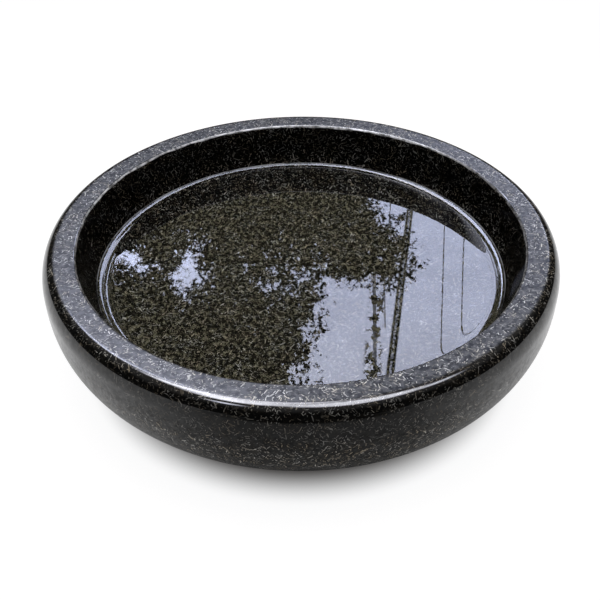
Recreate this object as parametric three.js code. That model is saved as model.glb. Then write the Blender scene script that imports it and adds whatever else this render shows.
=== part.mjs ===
// A turned granite water bowl, filled to a little below its rim.
//
// All lengths are in millimetres, with +Z up. The origin is the centre of the flat base,
// on the bowl's axis, at the level that the bowl stands on. Both pieces are turned about
// that axis, so each is one closed profile revolved through a full circle.

import * as THREE from 'three';

// The stone's outside
const bowlHeight = 110;
const baseRadius = 105;
const rimWidth = 15.5; // the flat rim, from the wall's line out to where the shoulder begins
const shoulderReach = 11; // from there out to the widest circle
const shoulderDrop = 17; // from the rim down to the widest circle
const sidePower = 2.57; // 2 makes the side below it an ellipse, and more makes it fuller

// The well that the water stands in
const mouthRadius = 173.5; // where the wall's line meets the level of the rim
const innerEdgeRound = 2.5;
const wallSlant = 27; // how far the wall's line comes in between the rim and the floor
const coveRadius = 40; // the sweep from the wall into the floor
const floorThickness = 38;

// The water
const waterDrop = 36; // from the rim down to the level part of the surface
const meniscusLength = 2.7; // how far from the wall its climb falls to about a third
const seatGap = 0.3; // between the water and the stone

// How finely the curves are divided
const turnSteps = 96;
const sideSteps = 16;
const shoulderSteps = 8;
const edgeRoundSteps = 4;
const coveSteps = 9;
const meniscusSteps = 8;

// Levels, radii and the lean of the wall, which follow from the sizes above
const rimLevel = bowlHeight;
const widestLevel = rimLevel - shoulderDrop;
const floorLevel = floorThickness;
const waterLevel = rimLevel - waterDrop;
const rimOuterRadius = mouthRadius + rimWidth;
const widestRadius = rimOuterRadius + shoulderReach;
const wellFootRadius = mouthRadius - wallSlant;
const wallLean = Math.atan2(wallSlant, rimLevel - floorLevel);

// The water wets the stone, so its surface climbs until it runs along the wall
const contactSlope = Math.PI / 2 - wallLean;
const levelSlope = contactSlope / 100; // less than this counts as level
const contactLevel = waterLevel + meniscusClimb(contactSlope);

// A point of a profile: a distance from the axis and a level
const at = (radius, level) => new THREE.Vector2(radius, level);

// Points along a curve, which is a function of a parameter that runs from 0 to 1
const along = (steps, curve) => Array.from({ length: steps + 1 }, (_, i) => curve(i / steps));

// A stretch of a circle or an ellipse about a centre, between two angles
function arc(centre, reachOut, reachUp, fromAngle, toAngle, steps) {
  return along(steps, (t) => {
    const angle = fromAngle + t * (toAngle - fromAngle);
    return at(centre.x + reachOut * Math.cos(angle), centre.y + reachUp * Math.sin(angle));
  });
}

// The side, from the edge of the base up to the widest circle. It is a superellipse that
// stands upright at the widest circle and has the depth that brings it to the base's edge.
function side() {
  const baseAngle = Math.acos((baseRadius / widestRadius) ** (sidePower / 2));
  const depth = widestLevel / Math.sin(baseAngle) ** (2 / sidePower);
  return along(sideSteps, (t) => {
    const angle = baseAngle * (1 - t);
    const radius = widestRadius * Math.cos(angle) ** (2 / sidePower);
    return at(radius, widestLevel - depth * Math.sin(angle) ** (2 / sidePower));
  });
}

// The shoulder, a quarter of an ellipse from the widest circle over to the flat rim
function shoulder() {
  const centre = at(rimOuterRadius, widestLevel);
  return arc(centre, shoulderReach, shoulderDrop, 0, Math.PI / 2, shoulderSteps);
}

// The round between the flat rim and the wall, tangent to both
function innerEdge() {
  const level = rimLevel - innerEdgeRound;
  const lift = level - floorLevel;
  const outward = (lift * Math.sin(wallLean) + innerEdgeRound) / Math.cos(wallLean);
  const centre = at(wellFootRadius + outward, level);
  const wallAngle = Math.PI - wallLean;
  return arc(centre, innerEdgeRound, innerEdgeRound, Math.PI / 2, wallAngle, edgeRoundSteps);
}

// The centre of the sweep from the wall into the floor, which is tangent to both
function coveCentre() {
  const inward = (coveRadius * (1 - Math.sin(wallLean))) / Math.cos(wallLean);
  return at(wellFootRadius - inward, floorLevel + coveRadius);
}

// The sweep down into the floor, set into the well by an inset. It starts at the wall, or
// lower where the top level given lies below the end of the wall.
function cove(inset, topLevel) {
  const centre = coveCentre();
  const radius = coveRadius - inset;
  const topAngle = Math.asin(Math.min(0, (topLevel - centre.y) / radius));
  return arc(centre, radius, radius, Math.min(-wallLean, topAngle), -Math.PI / 2, coveSteps);
}

// The distance from the axis to the wall or the sweep at a level, set in by an inset
function wellRadius(level, inset) {
  const centre = coveCentre();
  const radius = coveRadius - inset;
  if (level < centre.y - radius * Math.sin(wallLean)) {
    return centre.x + Math.sqrt(radius ** 2 - (level - centre.y) ** 2);
  }
  const lift = level - floorLevel;
  return wellFootRadius + lift * Math.tan(wallLean) - inset / Math.cos(wallLean);
}

// How far the surface stands above its level part where it has a slope
function meniscusClimb(slope) {
  return 2 * meniscusLength * (Math.sin(slope / 2) - Math.sin(levelSlope / 2));
}

// The surface of the water near the wall, from the line where it meets the stone in to the
// level part, in the curve that surface tension gives to still water at a wall
function meniscus() {
  const contactRadius = wellRadius(contactLevel, seatGap);
  const run = (slope) => -Math.log(Math.tan(slope / 4)) - 2 * Math.cos(slope / 2);
  return along(meniscusSteps, (t) => {
    const slope = contactSlope * (levelSlope / contactSlope) ** t;
    const inward = meniscusLength * (run(slope) - run(contactSlope));
    return at(contactRadius - inward, waterLevel + meniscusClimb(slope));
  });
}

// Revolves a closed profile about the Z axis. The profile runs from the foot of the axis
// outwards, up and back to the axis.
function turned(name, profile, material) {
  const geometry = new THREE.LatheGeometry(profile, turnSteps);
  geometry.rotateX(Math.PI / 2);
  const mesh = new THREE.Mesh(geometry, material);
  mesh.name = name;
  return mesh;
}

const granite = new THREE.MeshStandardMaterial({ color: 0x1c1c1e, roughness: 0.22, metalness: 0 });
const stillWater = new THREE.MeshStandardMaterial({
  color: 0xb9c6cf,
  roughness: 0.03,
  metalness: 0,
  transparent: true,
  opacity: 0.35,
});

function makeBowl() {
  const outside = [...side(), ...shoulder().slice(1)];
  const inside = [...innerEdge(), ...cove(0, rimLevel)];
  return turned('bowl', [at(0, 0), ...outside, ...inside, at(0, floorLevel)], granite);
}

function makeWater() {
  const underside = cove(seatGap, waterLevel).reverse();
  const surface = meniscus();
  const foot = at(0, floorLevel + seatGap);
  return turned('water', [foot, ...underside, ...surface, at(0, waterLevel)], stillWater);
}

const waterBowl = new THREE.Group();
waterBowl.add(makeBowl(), makeWater());

export default waterBowl;
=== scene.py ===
"""A turned bowl of polished black granite, filled with still water.

Everything is in metres, with +Z up. The origin is the centre of the flat base.
"""

import math

import bpy
import numpy as np
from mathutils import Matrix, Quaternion, Vector


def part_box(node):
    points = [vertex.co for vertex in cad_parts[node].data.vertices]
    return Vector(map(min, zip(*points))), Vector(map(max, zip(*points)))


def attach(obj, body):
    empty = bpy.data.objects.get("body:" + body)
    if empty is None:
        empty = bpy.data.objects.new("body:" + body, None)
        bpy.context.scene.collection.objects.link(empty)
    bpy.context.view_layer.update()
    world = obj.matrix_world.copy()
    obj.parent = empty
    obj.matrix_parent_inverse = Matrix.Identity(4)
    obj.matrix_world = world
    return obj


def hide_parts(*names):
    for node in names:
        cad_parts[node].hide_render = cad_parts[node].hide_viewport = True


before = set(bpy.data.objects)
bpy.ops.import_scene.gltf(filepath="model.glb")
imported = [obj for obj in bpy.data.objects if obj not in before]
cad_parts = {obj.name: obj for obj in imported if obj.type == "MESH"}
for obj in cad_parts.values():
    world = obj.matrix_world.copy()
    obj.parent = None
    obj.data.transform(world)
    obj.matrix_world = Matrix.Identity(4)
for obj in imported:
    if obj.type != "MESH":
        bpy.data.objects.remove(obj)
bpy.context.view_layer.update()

# The bowl's sizes
SHOULDER_REACH = 0.011
SHOULDER_DROP = 0.017
RIM_WIDTH = 0.0155
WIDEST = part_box("bowl")[1].x
RIM_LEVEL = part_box("bowl")[1].z
RIM_OUTER = WIDEST - SHOULDER_REACH
WIDEST_LEVEL = RIM_LEVEL - SHOULDER_DROP
BASE_RADIUS = 0.105
SIDE_POWER = 2.57  # 2 makes the side an ellipse, and more makes it fuller
MOUTH_RADIUS = RIM_OUTER - RIM_WIDTH
WALL_SLANT = 0.027
FLOOR_LEVEL = 0.038
INNER_EDGE_ROUND = 0.0025
COVE_RADIUS = 0.040
BASE_EASED_UP = 0.0012  # the cut edge of the base is taken off this far up the side
BASE_EASED_IN = 0.00048  # and this far in along the underside

WELL_FOOT = MOUTH_RADIUS - WALL_SLANT
WALL_LEAN = math.atan2(WALL_SLANT, RIM_LEVEL - FLOOR_LEVEL)

# The water's sizes
CONTACT_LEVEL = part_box("water")[1].z
CONTACT_SLOPE = math.pi / 2.0 - WALL_LEAN  # water wets the stone, so its edge runs along the wall
LEVEL_SHARE = 0.0003  # less than this share of that slope counts as level
MENISCUS_LENGTH = 0.0027  # how far from the wall its climb falls to about a third
WATER_LEVEL = CONTACT_LEVEL - 2.0 * MENISCUS_LENGTH * math.sin(CONTACT_SLOPE / 2.0)
TUCK = 0.00005  # the water's skin lies this far inside the stone, so no air shows between them

# How finely the curves are worked out, before their points are spread evenly along them
TURNS = 480
ARC_STEPS = 400
SIDE_STEPS = 2000
SIDE_CROWDING = 1.6  # above 1, the side's steps are shorter towards the base


# Profiles, as rows of radius and level

def spread(points, count):
    """The same line with its points moved so that they lie at equal distances along it."""
    steps = np.hypot(*np.diff(points, axis=0).T)
    run = np.concatenate([[0.0], np.cumsum(steps)])
    marks = np.linspace(0.0, run[-1], count)
    return np.stack([np.interp(marks, run, points[:, k]) for k in (0, 1)], axis=1)


def arc(centre, reach, start, end, count):
    """Radius is the centre's plus reach times the angle's cosine, and level the same with its
    sine. The reach is one number for a circle or two for an ellipse."""
    angle = np.linspace(start, end, ARC_STEPS)
    across, up = np.broadcast_to(reach, 2)
    line = np.stack([centre[0] + across * np.cos(angle), centre[1] + up * np.sin(angle)], axis=1)
    return spread(line, count)


def straight(start, end, count):
    """Evenly spaced points of the line from start to end."""
    share = np.linspace(0.0, 1.0, count)[:, None]
    return np.array(start) * (1.0 - share) + np.array(end) * share


def side(count):
    """A superellipse that stands upright at the widest circle. Radius is the widest radius times
    cos(a)^(2/power), and the drop below the widest level is the depth times sin(a)^(2/power)."""
    base_angle = math.acos((BASE_RADIUS / WIDEST) ** (SIDE_POWER / 2.0))
    depth = WIDEST_LEVEL / math.sin(base_angle) ** (2.0 / SIDE_POWER)
    angle = base_angle * (1.0 - np.linspace(0.0, 1.0, SIDE_STEPS) ** SIDE_CROWDING)
    radius = WIDEST * np.cos(angle) ** (2.0 / SIDE_POWER)
    level = WIDEST_LEVEL - depth * np.abs(np.sin(angle)) ** (2.0 / SIDE_POWER)
    line = np.stack([radius, np.maximum(level, 0.0)], axis=1)
    return spread(line[line[:, 1] >= BASE_EASED_UP], count)


def shoulder(count):
    """A quarter of an ellipse from the widest circle over to the flat rim."""
    centre = (RIM_OUTER, WIDEST_LEVEL)
    reach = (WIDEST - RIM_OUTER, RIM_LEVEL - WIDEST_LEVEL)
    return arc(centre, reach, 0.0, math.pi / 2.0, count)


def inner_edge_centre():
    """The centre of the round that touches the rim and the wall."""
    level = RIM_LEVEL - INNER_EDGE_ROUND
    lift = (level - FLOOR_LEVEL) * math.sin(WALL_LEAN)
    return WELL_FOOT + (lift + INNER_EDGE_ROUND) / math.cos(WALL_LEAN), level


def cove_centre():
    """The centre of the sweep that touches the wall and the floor."""
    inward = COVE_RADIUS * (1.0 - math.sin(WALL_LEAN)) / math.cos(WALL_LEAN)
    return WELL_FOOT - inward, FLOOR_LEVEL + COVE_RADIUS


def wall_radius(level, inset):
    """The wall's distance from the axis at a level, less an inset square to the wall."""
    lift = level - FLOOR_LEVEL
    return WELL_FOOT + lift * math.tan(WALL_LEAN) - inset / math.cos(WALL_LEAN)


def bowl_profile():
    """From the foot of the axis out along the base, up the side, over the rim and back in along
    the well to the axis."""
    edge = (BASE_RADIUS - BASE_EASED_IN, 0.0)
    inner = inner_edge_centre()
    outside = [
        straight((0.0, 0.0), edge, count=12),
        side(count=70),
        shoulder(count=34)[1:],
    ]
    inside = [
        straight((RIM_OUTER, RIM_LEVEL), (inner[0], RIM_LEVEL), count=6)[1:],
        arc(inner, INNER_EDGE_ROUND, math.pi / 2.0, math.pi - WALL_LEAN, count=12)[1:],
        arc(cove_centre(), COVE_RADIUS, -WALL_LEAN, -math.pi / 2.0, count=24),
        straight((cove_centre()[0], FLOOR_LEVEL), (0.0, FLOOR_LEVEL), count=12)[1:],
    ]
    return np.concatenate(outside + inside)


def water_profile():
    """From the foot of the axis out over the floor, up the sweep and the wall to the line where
    the surface meets the stone, then in over the surface. Where the surface has the slope s, it
    stands 2 * length * sin(s / 2) above its level part and lies length * (run(s) - run(wall)) in
    from the wall, with run(s) = -log(tan(s / 4)) - 2 * cos(s / 2), as surface tension shapes
    still water at a wall."""
    sweep = arc(cove_centre(), COVE_RADIUS + TUCK, -math.pi / 2.0, -WALL_LEAN, count=24)
    contact = wall_radius(CONTACT_LEVEL, -TUCK)
    foot = (0.0, FLOOR_LEVEL - TUCK)
    slope = CONTACT_SLOPE * np.geomspace(1.0, LEVEL_SHARE, 60)
    climb = 2.0 * MENISCUS_LENGTH * np.sin(slope / 2.0)
    run = -np.log(np.tan(slope / 4.0)) - 2.0 * np.cos(slope / 2.0)
    inward = MENISCUS_LENGTH * (run - run[0])
    surface = np.stack([contact - inward, WATER_LEVEL + climb], axis=1)
    level = straight(surface[-1], (0.0, WATER_LEVEL), count=12)[1:]
    below = [straight(foot, sweep[0], count=8), sweep[1:]]
    return np.concatenate(below + [surface, level])


def turned(name, profile, material):
    """Revolves a closed profile about Z. Point j of the profile at turn a is at
    (radius cos a, radius sin a, level), and its two ends on the axis are one point each."""
    ring = profile[1:-1]
    rows = len(ring)
    angle = np.arange(TURNS) * (2.0 * math.pi / TURNS)
    grid = np.empty((rows, TURNS, 3))
    grid[:, :, 0] = ring[:, :1] * np.cos(angle)
    grid[:, :, 1] = ring[:, :1] * np.sin(angle)
    grid[:, :, 2] = ring[:, 1:]
    poles = [[0.0, 0.0, profile[0, 1]], [0.0, 0.0, profile[-1, 1]]]
    points = np.concatenate([grid.reshape(-1, 3), poles])

    here = np.arange(rows * TURNS).reshape(rows, TURNS)
    beside = np.roll(here, -1, axis=1)
    quads = np.stack([here[:-1], beside[:-1], beside[1:], here[1:]], axis=-1).reshape(-1, 4)
    foot = np.full(TURNS, rows * TURNS)
    bottom = np.stack([foot, beside[0], here[0]], axis=-1)
    top = np.stack([here[-1], beside[-1], foot + 1], axis=-1)
    corners = np.concatenate([quads.ravel(), bottom.ravel(), top.ravel()])
    sizes = np.concatenate([np.full(len(quads), 4), np.full(2 * TURNS, 3)])

    mesh = bpy.data.meshes.new(name)
    mesh.vertices.add(len(points))
    mesh.vertices.foreach_set("co", points.ravel())
    mesh.loops.add(len(corners))
    mesh.loops.foreach_set("vertex_index", corners.astype(np.int32))
    mesh.polygons.add(len(sizes))
    starts = np.concatenate([[0], np.cumsum(sizes)[:-1]])
    mesh.polygons.foreach_set("loop_start", starts.astype(np.int32))
    mesh.polygons.foreach_set("use_smooth", np.ones(len(sizes), dtype=bool))
    mesh.update(calc_edges=True)
    mesh.validate()
    mesh.materials.append(material)
    piece = bpy.data.objects.new(name, mesh)
    bpy.context.scene.collection.objects.link(piece)
    return piece


# Node trees

class Sheet:
    """Adds nodes to one tree. An input is given as a socket to link or as a value to set."""

    def __init__(self, tree):
        self.tree = tree
        tree.nodes.clear()

    def add(self, kind, inputs=None, **settings):
        node = self.tree.nodes.new(kind)
        for name, value in settings.items():
            setattr(node, name, value)
        for name, value in (inputs or {}).items():
            socket = node.inputs[name]
            if isinstance(value, bpy.types.NodeSocket):
                self.tree.links.new(value, socket)
            else:
                socket.default_value = value
        return node

    def math(self, operation, *values):
        node = self.add("ShaderNodeMath", dict(enumerate(values)), operation=operation)
        return node.outputs[0]

    def fold(self, operation, values):
        """The values joined one after another by an operation such as MAXIMUM or MULTIPLY."""
        total = values[0]
        for value in values[1:]:
            total = self.math(operation, total, value)
        return total

    def vector(self, operation, *values):
        node = self.add("ShaderNodeVectorMath", dict(enumerate(values)), operation=operation)
        single = operation in ("DOT_PRODUCT", "LENGTH", "DISTANCE")
        return node.outputs["Value" if single else "Vector"]

    def scaled(self, vector, factor):
        node = self.add("ShaderNodeVectorMath", {0: vector, "Scale": factor}, operation="SCALE")
        return node.outputs["Vector"]

    def step(self, value, low, high, to_low=0.0, to_high=1.0):
        """A smooth step from to_low, where the value is low, to to_high, where it is high."""
        inputs = {"Value": value, "From Min": low, "From Max": high}
        inputs.update({"To Min": to_low, "To Max": to_high})
        node = self.add("ShaderNodeMapRange", inputs, interpolation_type="SMOOTHSTEP")
        return node.outputs["Result"]

    def ramp(self, value, low, high, to_low, to_high):
        """The same as a straight slope, held at both ends."""
        inputs = {"Value": value, "From Min": low, "From Max": high}
        inputs.update({"To Min": to_low, "To Max": to_high})
        return self.add("ShaderNodeMapRange", inputs).outputs["Result"]

    def between(self, share, first, second):
        """The first number where the share is 0, and the second where it is 1."""
        return self.ramp(share, 0.0, 1.0, first, second)

    def mix(self, share, first, second, blend="MIX"):
        """The first colour where the share is 0, and the second where it is 1."""
        inputs = {0: share, 6: first, 7: second}
        node = self.add("ShaderNodeMix", inputs, data_type="RGBA", blend_type=blend)
        return node.outputs[2]

    def times(self, colour, factor):
        """A colour times a number."""
        return self.mix(1.0, colour, self.joined(factor, factor, factor), "MULTIPLY")

    def noise(self, vector, scale, detail=2.0, roughness=0.5, output="Fac"):
        inputs = {"Vector": vector, "Scale": scale, "Detail": detail, "Roughness": roughness}
        return self.add("ShaderNodeTexNoise", inputs).outputs[output]

    def centred_noise(self, vector, **settings):
        """The same noise with its mean at 0."""
        return self.math("SUBTRACT", self.noise(vector, **settings), 0.5)

    def parts(self, vector):
        return self.add("ShaderNodeSeparateXYZ", {0: vector}).outputs

    def joined(self, x, y, z):
        return self.add("ShaderNodeCombineXYZ", {0: x, 1: y, 2: z}).outputs[0]


def new_material(name):
    material = bpy.data.materials.new(name)
    material.use_nodes = True
    return material, Sheet(material.node_tree)


LATH_CORE = 0.35  # the middle share of a lath's thickness that shows in full
LATH_SHAFT = 0.75  # the share of its length that shows in full, before its ends
LATH_REACH = 0.50  # how far a lath runs from the middle of its cell, as a share of the cell


def make_laths():
    """The mineral laths of the stone, as a group. Space is divided into cells round scattered
    points, and a thin plate stands in each cell at its own slant. Where the stone's face cuts
    the plate, a lath shows. Mask is its cover and Shade a number of its own from 0 to 1."""
    tree = bpy.data.node_groups.new("mineral_laths", "ShaderNodeTree")
    sheet = Sheet(tree)
    tree.interface.new_socket("Vector", in_out="INPUT", socket_type="NodeSocketVector")
    for name in ("Cell", "Thickness", "Reach", "Share", "Shift"):
        tree.interface.new_socket(name, in_out="INPUT", socket_type="NodeSocketFloat")
    for name in ("Mask", "Shade"):
        tree.interface.new_socket(name, in_out="OUTPUT", socket_type="NodeSocketFloat")
    given = sheet.add("NodeGroupInput").outputs

    per_cell = sheet.math("DIVIDE", 1.0, given["Cell"])
    shift = sheet.joined(given["Shift"], given["Shift"], given["Shift"])
    place = sheet.vector("ADD", sheet.scaled(given["Vector"], per_cell), shift)
    cells = sheet.add("ShaderNodeTexVoronoi", {"Vector": place, "Scale": 1.0}, feature="F1")
    draw = sheet.add("ShaderNodeTexWhiteNoise", {"Vector": cells.outputs["Position"]})
    slant = sheet.vector("SUBTRACT", draw.outputs["Color"], (0.5, 0.5, 0.5))
    slant = sheet.vector("NORMALIZE", slant)
    offset = sheet.vector("SUBTRACT", place, cells.outputs["Position"])
    height = sheet.math("ABSOLUTE", sheet.vector("DOT_PRODUCT", offset, slant))
    core = sheet.math("MULTIPLY", given["Thickness"], LATH_CORE)
    thin = sheet.step(height, given["Thickness"], core)
    shaft = sheet.math("MULTIPLY", given["Reach"], LATH_SHAFT)
    short = sheet.step(cells.outputs["Distance"], given["Reach"], shaft)
    shown = sheet.math("LESS_THAN", draw.outputs["Value"], given["Share"])
    mask = sheet.fold("MULTIPLY", [thin, short, shown])
    shade = sheet.math("DIVIDE", draw.outputs["Value"], given["Share"])
    sheet.add("NodeGroupOutput", {"Mask": mask, "Shade": shade})
    return tree


def laths(sheet, group, place, cell, thickness, share, shift=0.0):
    """Mask and shade of laths in cells of a size. Thickness is a share of the cell, share is how
    many of the cells hold a lath, and shift moves the pattern."""
    inputs = {"Vector": place, "Cell": cell, "Thickness": thickness}
    inputs.update({"Reach": LATH_REACH, "Share": share, "Shift": shift})
    node = sheet.add("ShaderNodeGroup", inputs, node_tree=group)
    return node.outputs["Mask"], node.outputs["Shade"]


# The stone

BLACK_GROUND = (0.0010, 0.0010, 0.0010, 1.0)
BROWN_CLOUD = (0.0090, 0.0070, 0.0045, 1.0)
TAN_LATH = (0.280, 0.235, 0.170, 1.0)
PALE_LATH = (0.420, 0.410, 0.380, 1.0)
# The honed flat's grey is partly its own and partly a painted bluish sheen of the sky
HONED_GROUND = (0.016, 0.018, 0.024, 1.0)
HONED_CLOUD = (0.080, 0.082, 0.092, 1.0)
HONED_TAN_LATH = (0.600, 0.560, 0.480, 1.0)
HONED_PALE_LATH = (0.820, 0.820, 0.810, 1.0)
# A painted highlight along the water's edge
WATERLINE_HIGHLIGHT = (0.30, 0.31, 0.33, 1.0)
# A painted highlight on the edge between the rim and the wall
EDGE_HIGHLIGHT = (0.60, 0.60, 0.62, 1.0)

# For each size of lath, its cell, thickness, share and shift, and a power that dims most of them
LONG_LATHS = (0.0052, 0.066, 0.95, 0.0), 1.6
MIDDLING_LATHS = (0.0030, 0.095, 0.95, 17.3), 2.0
FINE_LATHS = (0.0018, 0.130, 0.90, 41.7), 1.5

LATH_BEND = 0.0018
BORDER_WANDER = 0.00025  # how far the borders between finishes stray from true circles

# How bright the polished stone's colour is painted in each place: painted light low on the side
# and near the rim's edge, painted shade on the shoulder and in the well, and brighter under the
# water
SIDE_PAINTED_LIGHT = 1.15
SHOULDER_PAINTED_SHADE = 0.29
RIM_EDGE_PAINTED_LIGHT = 0.85
WALL_PAINTED_SHADE = 0.7
WET_DEPTH = 1.20

# How full the polished stone's gloss is, at its dullest on the side and elsewhere
SIDE_DULLEST = 0.34
DULLEST = 0.68
GLOSS_WITHIN_RIM = 0.8
GLOSS_ON_WALL = 0.05

# How deep the polish leaves the stone's relief
RELIEF = 0.00003


def lath_light(sheet, group, place):
    """How far the laths lighten the stone, from 0 to 1. They are bent a little, and they crowd
    together in some places and thin out in others."""
    random = sheet.noise(place, scale=170.0, detail=1.0, output="Color")
    bend = sheet.vector("SUBTRACT", random, (0.5, 0.5, 0.5))
    bent = sheet.vector("ADD", place, sheet.scaled(bend, LATH_BEND))
    lights = []
    for size, power in (LONG_LATHS, MIDDLING_LATHS, FINE_LATHS):
        mask, shade = laths(sheet, group, bent, *size)
        lights.append(sheet.math("MULTIPLY", mask, sheet.math("POWER", shade, power)))
    light = sheet.fold("MAXIMUM", lights)
    crowds = sheet.noise(place, scale=75.0, detail=3.0, roughness=0.7)
    crowding = sheet.ramp(crowds, 0.36, 0.64, 0.45, 1.25)
    return sheet.math("MINIMUM", sheet.math("MULTIPLY", light, crowding), 1.0)


def honed_flat(sheet, radius, z):
    """1 on the flat of the rim, which is honed, and 0 on the rest."""
    inner_radius = inner_edge_centre()[0]
    return sheet.fold("MULTIPLY", [
        sheet.step(radius, RIM_OUTER + 0.0026, RIM_OUTER - 0.0008),
        sheet.step(radius, inner_radius - 0.0010, inner_radius - 0.0006),
        sheet.step(z, RIM_LEVEL - 0.0022, RIM_LEVEL - 0.0016),
    ])


def painted_waterline_highlight(sheet, place, z, on_wall):
    """A thin, patchy pale line on the wall just above the water: a painted highlight along the
    water's edge.
    """
    patches = sheet.noise(place, scale=35.0, detail=3.0, roughness=0.6)
    return sheet.fold("MULTIPLY", [
        sheet.step(z, CONTACT_LEVEL + 0.0009, CONTACT_LEVEL + 0.0005),
        on_wall,
        sheet.step(z, CONTACT_LEVEL - 0.0005, CONTACT_LEVEL - 0.0002),
        sheet.step(patches, 0.36, 0.60, 0.25, 0.95),
    ])


def painted_edge_highlight(sheet, place, radius, z):
    """A painted highlight on the edge between the rim and the wall, broken here and there, and
    strongest at the back."""
    x, y = sheet.parts(place)[:2]
    backward = sheet.math("MULTIPLY_ADD", x, -0.35, y)
    gaps = sheet.noise(place, scale=130.0, detail=4.0, roughness=0.7)
    return sheet.fold("MULTIPLY", [
        sheet.step(radius, MOUTH_RADIUS - 0.0007, MOUTH_RADIUS - 0.0004),
        sheet.step(radius, MOUTH_RADIUS + 0.0007, MOUTH_RADIUS + 0.0004),
        sheet.step(z, RIM_LEVEL - 0.0035, RIM_LEVEL - 0.0030),
        sheet.step(gaps, 0.36, 0.60, 0.15, 1.0),
        sheet.step(backward, 0.0, 0.13, 0.30, 1.0),
    ])


def make_granite(laths_group):
    """Black ground with brown clouds, crossed by pale laths of three sizes. The flat of the rim
    is honed, which makes it greyer and its gloss wider, and all the rest is polished. The colour
    also holds painted light and shade, a painted sheen on the rim and painted highlights."""
    material, sheet = new_material("granite")
    place = sheet.add("ShaderNodeTexCoord").outputs["Object"]

    # Where on the bowl a point is, with borders that wander a little
    x, y, z = sheet.parts(place)
    stray = sheet.noise(place, scale=60.0, detail=1.0)
    stray = sheet.ramp(stray, 0.3, 0.7, -BORDER_WANDER, BORDER_WANDER)
    radius = sheet.math("ADD", sheet.vector("LENGTH", sheet.joined(x, y, 0.0)), stray)
    honed = honed_flat(sheet, radius, z)
    within_rim = sheet.step(radius, RIM_OUTER, RIM_OUTER - 0.002)
    on_wall = sheet.step(radius, MOUTH_RADIUS - 0.0004, MOUTH_RADIUS - 0.0009)
    under_water = sheet.step(z, CONTACT_LEVEL + 0.0001, CONTACT_LEVEL - 0.0001)
    wet = sheet.math("MULTIPLY", within_rim, under_water)

    # The polished stone, with painted shade that makes it darkest on the shoulder and in the well,
    # and painted light that makes it palest low on the side and near the rim's edge; it is palest
    # under the water too
    light = lath_light(sheet, laths_group, place)
    clouds = sheet.noise(place, scale=210.0, detail=4.0, roughness=0.6)
    paleness = sheet.step(sheet.noise(place, scale=95.0), 0.35, 0.65)
    ground = sheet.mix(sheet.step(clouds, 0.42, 0.68), BLACK_GROUND, BROWN_CLOUD)
    stone = sheet.mix(light, ground, sheet.mix(paleness, TAN_LATH, PALE_LATH))
    side_painted_light_and_shade = sheet.step(z, 0.066, 0.091, SIDE_PAINTED_LIGHT, SHOULDER_PAINTED_SHADE)
    rim_start, rim_end = RIM_LEVEL - 0.004, RIM_LEVEL - 0.0008
    rim_painted_light_and_shade = sheet.step(z, rim_start, rim_end, SHOULDER_PAINTED_SHADE, RIM_EDGE_PAINTED_LIGHT)
    depth = sheet.math("MAXIMUM", side_painted_light_and_shade, rim_painted_light_and_shade)
    depth = sheet.math("MULTIPLY", depth, sheet.between(on_wall, 1.0, WALL_PAINTED_SHADE))
    depth = sheet.between(wet, depth, WET_DEPTH)
    stone_with_painted_light = sheet.times(stone, depth)

    # The honed stone, with a painted sheen that makes it paler towards the front right
    honed_ground = sheet.mix(sheet.step(clouds, 0.36, 0.62), HONED_GROUND, HONED_CLOUD)
    honed_laths = sheet.mix(paleness, HONED_TAN_LATH, HONED_PALE_LATH)
    front_right = sheet.math("MULTIPLY_ADD", x, 0.6, sheet.math("MULTIPLY", y, -1.0))
    painted_front_sheen = sheet.ramp(front_right, -0.2, 0.2, 0.87, 1.13)
    honed_with_painted_sheen = sheet.times(sheet.mix(light, honed_ground, honed_laths), painted_front_sheen)

    colour = sheet.mix(honed, stone_with_painted_light, honed_with_painted_sheen)
    # Painted highlights along the water's edge and on the edge of the well
    colour = sheet.mix(painted_waterline_highlight(sheet, place, z, on_wall), colour, WATERLINE_HIGHLIGHT)
    colour = sheet.mix(painted_edge_highlight(sheet, place, radius, z), colour, EDGE_HIGHLIGHT)

    # The gloss lies on what is polished and dry, and is uneven on the side
    dry = sheet.math("SUBTRACT", 1.0, sheet.math("MAXIMUM", honed, wet))
    uneven = sheet.noise(place, scale=240.0, detail=4.0, roughness=0.7)
    dullest = sheet.step(z, 0.080, 0.095, SIDE_DULLEST, DULLEST)
    gloss = sheet.fold("MULTIPLY", [
        dry,
        sheet.between(within_rim, 1.0, GLOSS_WITHIN_RIM),
        sheet.between(on_wall, 1.0, GLOSS_ON_WALL),
        sheet.ramp(uneven, 0.37, 0.63, dullest, 1.0),
    ])
    grain = sheet.noise(place, scale=1800.0, roughness=0.6)
    polished_rough = sheet.ramp(clouds, 0.3, 0.7, 0.05, 0.11)
    honed_rough = sheet.ramp(grain, 0.3, 0.7, 0.24, 0.34)

    # The grain of the honed flat, and faint waves left by the polishing
    relief = sheet.math("MULTIPLY", grain, sheet.math("MULTIPLY", honed, RELIEF))
    waves = sheet.math("MULTIPLY", sheet.noise(place, scale=45.0), RELIEF)
    height = sheet.math("ADD", relief, waves)
    bump = sheet.add("ShaderNodeBump", {"Strength": 1.0, "Distance": 1.0, "Height": height})
    principled = sheet.add(
        "ShaderNodeBsdfPrincipled",
        {
            "Base Color": colour,
            "Roughness": sheet.between(honed, polished_rough, honed_rough),
            "IOR": 1.5,
            "Specular IOR Level": 0.12,
            "Coat Weight": gloss,
            "Coat Roughness": 0.06,
            "Coat IOR": 1.45,
            "Normal": bump.outputs["Normal"],
        },
    )
    sheet.add("ShaderNodeOutputMaterial", {"Surface": principled.outputs[0]})
    return material


# The water

SWELL = 0.00001
DUST_SPECKS = 0.0034, 0.14, 0.9  # their cell, thickness and share
DUST_LIGHT = 0.45


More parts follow.
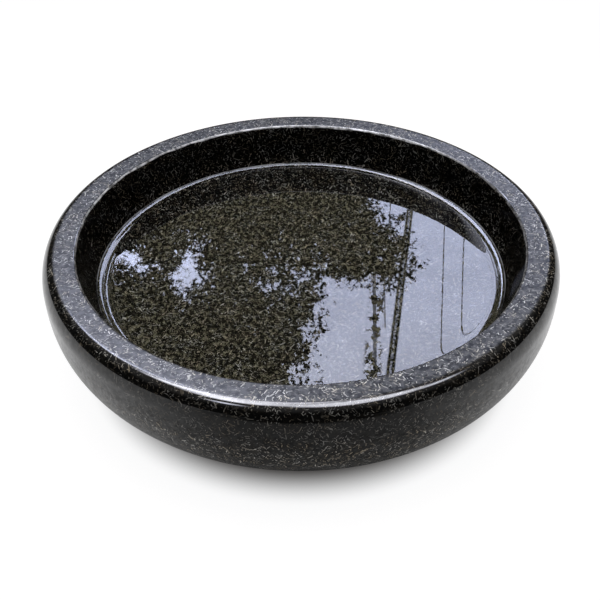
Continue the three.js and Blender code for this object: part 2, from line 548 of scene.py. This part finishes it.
def make_water(laths_group):
    """Clear water with a faint swell. Its mirror is a coat, which is fuller where specks of dust
    float. Light that the stone has scattered, and light on its way to a shadow, passes straight
    through."""
    material, sheet = new_material("still_water")
    place = sheet.add("ShaderNodeTexCoord").outputs["Object"]
    swell = sheet.math("MULTIPLY", sheet.noise(place, scale=22.0, detail=1.0), SWELL)
    bump = sheet.add("ShaderNodeBump", {"Strength": 1.0, "Distance": 1.0, "Height": swell})
    specks, shade = laths(sheet, laths_group, place, *DUST_SPECKS)
    dust = sheet.math("MULTIPLY", specks, shade)
    cloudy = sheet.noise(place, scale=40.0, detail=3.0, roughness=0.6)
    film = sheet.ramp(cloudy, 0.3, 0.7, 0.73, 0.83)
    mirror = sheet.math("MINIMUM", sheet.math("MULTIPLY_ADD", dust, DUST_LIGHT, film), 1.0)
    principled = sheet.add(
        "ShaderNodeBsdfPrincipled",
        {
            "Base Color": (0.97, 0.985, 0.98, 1.0),
            "Roughness": 0.0,
            "IOR": 1.333,
            "Transmission Weight": 1.0,
            "Coat Weight": mirror,
            "Coat Roughness": 0.0,
            "Coat IOR": 2.0,
            "Normal": bump.outputs["Normal"],
        },
    )
    clear = sheet.add("ShaderNodeBsdfTransparent", {"Color": (0.96, 0.98, 0.97, 1.0)})
    path = sheet.add("ShaderNodeLightPath").outputs
    passing = sheet.math("MAXIMUM", path["Is Shadow Ray"], path["Is Diffuse Ray"])
    surface = sheet.add(
        "ShaderNodeMixShader", {0: passing, 1: principled.outputs[0], 2: clear.outputs[0]}
    )
    sheet.add("ShaderNodeOutputMaterial", {"Surface": surface.outputs[0]})
    return material


# The surroundings

LOW_SKY = (8.4, 9.15, 12.3, 1.0)
HIGH_SKY = (12.6, 12.7, 14.0, 1.0)
SHADED_LEAVES = (0.08, 0.08, 0.055, 1.0)
SUNLIT_LEAVES = (2.40, 2.25, 1.50, 1.0)
BELOW_HORIZON = (0.05, 0.05, 0.05, 1.0)
PLAIN_LIGHT = (1.0, 1.0, 1.02, 1.0)
WHITE = (1.0, 1.0, 1.0, 1.0)

# How strongly the mirrored surroundings show in the stone and in the water, and how much of that
# is left of what the water mirrors a second time
STONE_STRENGTH = 1.28
WATER_STRENGTH = 0.294
WATER_AGAIN = 0.07

# The plain light is the first number at the horizon and the sum of the two overhead
PLAIN_LEVEL = 0.60
PLAIN_RISE = 0.9
PLAIN_UNDER_WATER = 0.03  # the share of it that reaches in under the water

LOWEST_LIFT = 0.03  # directions lower than this count as this high, where they meet the ceiling
STRIPE_CORE = 0.6  # the middle share of a stripe's width that shows in full
STRIPE_END = 0.01


class Ceiling:
    """Where a direction meets a flat ceiling one unit above the bowl. Across runs to the right
    and along runs to the back."""

    def __init__(self, sheet, direction):
        x, y, z = sheet.parts(direction)
        lift = sheet.math("MAXIMUM", z, LOWEST_LIFT)
        self.sheet = sheet
        self.height = z
        self.across = sheet.math("DIVIDE", x, lift)
        self.along = sheet.math("DIVIDE", y, lift)
        self.point = sheet.joined(self.across, self.along, 0.0)

    def stripe(self, start, end, width):
        """A band round the line from start to end, 1 on it and 0 beside it."""
        sheet = self.sheet
        slope = (end[0] - start[0]) / (end[1] - start[1])
        line = sheet.math("MULTIPLY_ADD", self.along, slope, start[0] - slope * start[1])
        off = sheet.math("ABSOLUTE", sheet.math("SUBTRACT", self.across, line))
        low, high = sorted((start[1], end[1]))
        return sheet.fold("MULTIPLY", [
            sheet.step(off, width, width * STRIPE_CORE),
            sheet.step(self.along, low - STRIPE_END, low),
            sheet.step(self.along, high + STRIPE_END, high),
        ])

    def patch(self, centre, size, stretch=(1.0, 1.0)):
        """How far a point lies inside an oval about a centre, below 0 outside it."""
        sheet = self.sheet
        away = sheet.vector("SUBTRACT", self.point, (centre[0], centre[1], 0.0))
        away = sheet.vector("MULTIPLY", away, (stretch[0], stretch[1], 0.0))
        return sheet.math("SUBTRACT", size, sheet.vector("LENGTH", away))


def make_crowns(sheet, ceiling, upright, tatter):
    """1 where leaves hide the sky. An opening is a number that is above 0 inside it. The tatter
    is added to it, which breaks its edge up into leaves, and a few holes lie beside it."""
    across, along = ceiling.across, ceiling.along
    left_crown = sheet.math(
        "MINIMUM",
        sheet.ramp(along, 1.08, 1.35, 0.000, 0.045),
        sheet.ramp(along, 0.30, 1.00, -0.36, 0.06),
    )
    corner = sheet.math("MULTIPLY_ADD", along, 0.13, across)
    beside_corner = sheet.math("SUBTRACT", corner, 0.355)
    before_corner = sheet.math("SUBTRACT", 1.46, along)
    branch = sheet.fold("MAXIMUM", [
        ceiling.patch((0.080, 1.430), 0.110),
        ceiling.patch((0.141, 1.368), 0.053),
        ceiling.patch((0.120, 1.490), 0.032),
        ceiling.patch((0.186, 1.525), 0.008),
    ])
    main_opening = sheet.fold("MINIMUM", [
        sheet.math("SUBTRACT", across, left_crown),
        sheet.math("MAXIMUM", beside_corner, before_corner),
        sheet.math("MULTIPLY", branch, -1.0),
        sheet.math("SUBTRACT", along, 1.02),
        sheet.math("SUBTRACT", 1.9, along),
    ])
    openings = sheet.fold("MAXIMUM", [
        main_opening,
        ceiling.patch((-0.298, 1.395), 0.012, (1.0, 0.50)),
        ceiling.patch((-0.272, 1.368), 0.009, (0.7, 1.0)),
        ceiling.patch((-0.196, 1.365), 0.016, (0.9, 0.35)),
        ceiling.patch((-0.180, 1.325), 0.004, (0.8, 0.6)),
        ceiling.patch((-0.015, 1.340), -0.006, (0.28, 0.25)),
        sheet.math("SUBTRACT", across, 0.60),
        sheet.math("SUBTRACT", -0.39, across),
        sheet.math("SUBTRACT", -0.30, along),
    ])
    far_trees = sheet.math("SUBTRACT", 2.3, sheet.vector("LENGTH", ceiling.point))
    opening = sheet.math("MINIMUM", openings, far_trees)
    ragged = sheet.math(
        "MULTIPLY",
        sheet.ramp(sheet.math("ABSOLUTE", along), 0.55, 1.0, 0.05, 1.0),
        sheet.ramp(across, -0.16, -0.06, 0.60, 1.0),
    )
    opening = sheet.math("MULTIPLY_ADD", tatter, ragged, opening)
    leafy = sheet.step(opening, 0.009, -0.006)
    holes = sheet.step(sheet.noise(upright, scale=95.0, roughness=0.6), 0.610, 0.670)
    holes = sheet.math("MULTIPLY", holes, sheet.step(opening, -0.034, -0.014))
    return sheet.math("MULTIPLY", leafy, sheet.math("SUBTRACT", 1.0, holes))


def make_uprights(sheet, ceiling, upright, boughs, sprays):
    """The lattice pole, the slim tree beside it with its trunk, and the wires, as masks."""
    pole_ends = (0.209, 1.545), (0.134, 1.080)
    rungs = sheet.step(sheet.noise(upright, scale=260.0, detail=1.0), 0.40, 0.60, 0.0, 0.5)
    hollow = sheet.math("MULTIPLY", ceiling.stripe(*pole_ends, 0.0026), rungs)
    pole = sheet.math("SUBTRACT", ceiling.stripe(*pole_ends, 0.0080), hollow)
    clumps = sheet.math("MULTIPLY_ADD", boughs, 1.2, sprays)
    slim_tree = sheet.math(
        "MULTIPLY",
        ceiling.stripe((0.131, 1.31), (0.106, 1.07), 0.017),
        sheet.step(clumps, -0.012, 0.012),
    )
    trunk = ceiling.stripe((0.131, 1.40), (0.107, 1.00), 0.0036)
    wires = sheet.fold("MAXIMUM", [
        ceiling.stripe((0.283, 1.60), (0.197, 0.98), 0.0014),
        ceiling.stripe((0.321, 1.60), (0.226, 0.98), 0.0014),
        ceiling.stripe((0.180, 1.62), (0.135, 1.25), 0.0012),
        ceiling.stripe((0.146, 1.36), (0.136, 1.20), 0.0012),
    ])
    wires = sheet.math("MULTIPLY", wires, sheet.step(sprays, -0.10, 0.04, 0.45, 1.0))
    return [pole, slim_tree, sheet.math("MULTIPLY", trunk, 0.85), wires]


def make_clearings(sheet, ceiling):
    """1 in the clearings that the stone mirrors. Their edges are soft, as the stone's gloss is."""
    clearings = sheet.fold("MAXIMUM", [
        ceiling.patch((-0.27, 0.97), 0.26),
        ceiling.patch((-0.18, 0.33), 0.28),
        ceiling.patch((-0.20, -0.02), 0.22),
        ceiling.patch((0.22, -0.12), 0.30),
        ceiling.patch((0.60, -0.03), 0.12),
        ceiling.patch((-0.50, -0.62), 0.08),
    ])
    full = sheet.step(clearings, -0.12, 0.12)
    faint = sheet.step(ceiling.patch((0.44, 1.68), 0.30), -0.12, 0.12, 0.0, 0.72)
    return sheet.math("MAXIMUM", full, faint)


def make_surroundings():
    """White behind the bowl. The stone and the water are lit by a plain dome that is brightest
    overhead, and what they mirror is an open sky between leafy crowns, at a real sky's
    brightness, since they return only a twenty-fifth of it. The water mirrors each leaf, and
    the stone's softer gloss only the clearings between the crowns."""
    world = bpy.data.worlds.new("surroundings")
    bpy.context.scene.world = world
    world.use_nodes = True
    sheet = Sheet(world.node_tree)
    path = sheet.add("ShaderNodeLightPath").outputs
    ceiling = Ceiling(sheet, sheet.add("ShaderNodeTexCoord").outputs["Generated"])
    across, along, z = ceiling.across, ceiling.along, ceiling.height

    # Noise for branches, boughs and sprays of leaves, a little longer along than across
    upright = sheet.vector("MULTIPLY", ceiling.point, (1.0, 0.6, 0.0))
    branches = sheet.centred_noise(upright, scale=17.0, detail=3.0, roughness=0.6)
    boughs = sheet.centred_noise(upright, scale=48.0)
    sprays = sheet.centred_noise(upright, scale=150.0, detail=3.0, roughness=0.75)
    tatter = sheet.math("MULTIPLY", branches, 0.06)
    tatter = sheet.math("MULTIPLY_ADD", boughs, 0.10, tatter)
    tatter = sheet.math("MULTIPLY_ADD", sprays, 0.15, tatter)

    # What the water mirrors
    crowns = make_crowns(sheet, ceiling, upright, tatter)
    uprights = make_uprights(sheet, ceiling, upright, boughs, sprays)
    dark = sheet.fold("MAXIMUM", [crowns] + uprights)
    clouds = sheet.noise(ceiling.point, scale=7.0, detail=4.0, roughness=0.6)
    cloud = sheet.math(
        "MULTIPLY",
        sheet.ramp(clouds, 0.3, 0.7, 0.90, 1.08),
        sheet.ramp(across, -0.26, -0.10, 1.60, 1.0),
    )
    sky = sheet.times(sheet.mix(sheet.step(z, 0.55, 0.95), LOW_SKY, HIGH_SKY), cloud)
    sunlit = sheet.math("MULTIPLY", sheet.step(sprays, -0.02, 0.16), sheet.step(along, 0.7, 1.0))
    foliage = sheet.mix(sunlit, SHADED_LEAVES, SUNLIT_LEAVES)
    in_water = sheet.mix(dark, sky, foliage)

    # What the stone mirrors
    shade = sheet.step(z, 0.45, 0.75, 0.03, 0.25)
    under_trees = sheet.joined(shade, shade, shade)
    on_stone = sheet.mix(make_clearings(sheet, ceiling), under_trees, sky)

    # Only the water's mirror is perfectly sharp, which makes its rays singular. What is mirrored
    # twice, such as the wall's gloss seen in the water, is much dimmer.
    sharp = path["Is Singular Ray"]
    mirrored = sheet.mix(sharp, on_stone, in_water)
    mirrored = sheet.mix(sheet.step(z, -0.02, 0.0), BELOW_HORIZON, mirrored)
    strength = sheet.between(sharp, STONE_STRENGTH, WATER_STRENGTH)
    twice = sheet.math("GREATER_THAN", path["Glossy Depth"], 1.5)
    stone_again = sheet.step(along, 0.05, 0.35, 0.02, 0.10)
    again = sheet.between(sharp, stone_again, WATER_AGAIN)
    strength = sheet.math("MULTIPLY", strength, sheet.between(twice, 1.0, again))
    mirrored = sheet.times(mirrored, strength)

    # The plain light, which hardly reaches in under the water
    overhead = sheet.math("POWER", sheet.math("MAXIMUM", z, 0.0), 2.0)
    level = sheet.math("MULTIPLY_ADD", overhead, PLAIN_RISE, PLAIN_LEVEL)
    reaching = sheet.between(path["Is Transmission Ray"], 1.0, PLAIN_UNDER_WATER)
    level = sheet.math("MULTIPLY", level, reaching)
    plain = sheet.times(PLAIN_LIGHT, level)

    mirror = sheet.fold("MULTIPLY", [
        path["Is Glossy Ray"],
        sheet.math("LESS_THAN", path["Diffuse Depth"], 0.5),
        sheet.math("SUBTRACT", 1.0, path["Is Transmission Ray"]),
    ])
    seen = sheet.mix(mirror, plain, mirrored)
    seen = sheet.mix(path["Is Camera Ray"], seen, WHITE)
    background = sheet.add("ShaderNodeBackground", {"Color": seen, "Strength": 1.0})
    sheet.add("ShaderNodeOutputWorld", {"Surface": background.outputs[0]})
    world.cycles.sampling_method = "NONE"


# The floor and the camera

FLOOR_HALF_SIZE = 8.0
FLOOR_GAP = 0.0001
FLOOR_AS_SEEN = (0.226, 0.207, 0.190, 1.0)
FLOOR_BY_SCATTERED_LIGHT = (0.75, 0.75, 0.75, 1.0)
FLOOR_MIRRORED_ASIDE = (0.84, 0.84, 0.83, 1.0)
FLOOR_MIRRORED_NEAR = (0.29, 0.29, 0.285, 1.0)
FLOOR_MIRRORED_FAR = (0.04, 0.04, 0.04, 1.0)
FLOOR_GLOW = (0.99, 1.0, 1.012, 1.0)


def make_floor():
    """A pale floor, which the camera sees white through a painted glow wherever the bowl doesn't
    shade it. The polished side mirrors it in a painted colour, brightest to the left and right,
    and darkest in front and far off."""
    material, sheet = new_material("pale_floor")
    place = sheet.add("ShaderNodeTexCoord").outputs["Object"]
    path = sheet.add("ShaderNodeLightPath").outputs
    x, y = sheet.parts(place)[:2]
    reach = sheet.vector("LENGTH", sheet.joined(x, y, 0.0))
    aside = sheet.math("DIVIDE", x, sheet.math("MAXIMUM", reach, 0.01))
    aside = sheet.math("ABSOLUTE", sheet.math("SUBTRACT", aside, 0.06))
    # The floor's colour in the stone's mirror is painted by place: bright to the left and right,
    # dark in front and far off, with painted shade near the bowl
    far_off = sheet.step(reach, 0.45, 0.80)
    in_front = sheet.mix(far_off, FLOOR_MIRRORED_NEAR, FLOOR_MIRRORED_FAR)
    mirrored = sheet.mix(sheet.step(aside, 0.28, 0.98), in_front, FLOOR_MIRRORED_ASIDE)
    mirrored = sheet.times(mirrored, sheet.step(reach, 0.15, 0.25, 0.50, 1.0))
    colour = sheet.mix(path["Is Glossy Ray"], FLOOR_AS_SEEN, mirrored)
    colour = sheet.mix(path["Is Diffuse Ray"], colour, FLOOR_BY_SCATTERED_LIGHT)
    diffuse = sheet.add("ShaderNodeBsdfDiffuse", {"Color": colour})
    # A painted glow for the camera, which fades out near the bowl and so paints the edge of the
    # bowl's shadow
    glow = sheet.fold("MULTIPLY", [
        sheet.step(reach, 0.144, 0.182),
        path["Is Camera Ray"],
        sheet.step(reach, 0.20, 0.90, 0.87, 0.79),
    ])
    emission = sheet.add("ShaderNodeEmission", {"Color": FLOOR_GLOW, "Strength": glow})
    both = sheet.add("ShaderNodeAddShader", {0: diffuse.outputs[0], 1: emission.outputs[0]})
    sheet.add("ShaderNodeOutputMaterial", {"Surface": both.outputs[0]})

    half = FLOOR_HALF_SIZE
    corners = [(-half, -half, 0.0), (half, -half, 0.0), (half, half, 0.0), (-half, half, 0.0)]
    mesh = bpy.data.meshes.new("floor")
    mesh.from_pydata(corners, [], [(0, 1, 2, 3)])
    mesh.materials.append(material)
    floor = bpy.data.objects.new("floor", mesh)
    bpy.context.scene.collection.objects.link(floor)
    floor.location.z = -FLOOR_GAP


def make_camera():
    """A camera in front of the bowl, looking down on it, with a slight roll."""
    data = bpy.data.cameras.new("camera")
    data.sensor_fit = "HORIZONTAL"
    data.sensor_width = 36.0
    data.lens = 57.67
    data.clip_start = 0.01
    camera = bpy.data.objects.new("camera", data)
    bpy.context.scene.collection.objects.link(camera)
    place = Vector((0.0, -0.6222, 0.5311))
    aim = Vector((-0.00096, 0.0, 0.04172))
    roll = Quaternion((0.0, 0.0, 1.0), math.radians(-0.564))
    camera.location = place
    camera.rotation_mode = "QUATERNION"
    camera.rotation_quaternion = (aim - place).to_track_quat("-Z", "Y") @ roll
    bpy.context.scene.camera = camera


make_camera()
mineral_laths = make_laths()
granite = make_granite(mineral_laths)
water_material = make_water(mineral_laths)

stone_bowl = turned("stone_bowl", bowl_profile(), granite)
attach(stone_bowl, "root")
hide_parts("bowl")

still_water = turned("still_water", water_profile(), water_material)
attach(still_water, "root")
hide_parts("water")

make_surroundings()
make_floor()
bpy.context.scene.view_settings.view_transform = "Standard"
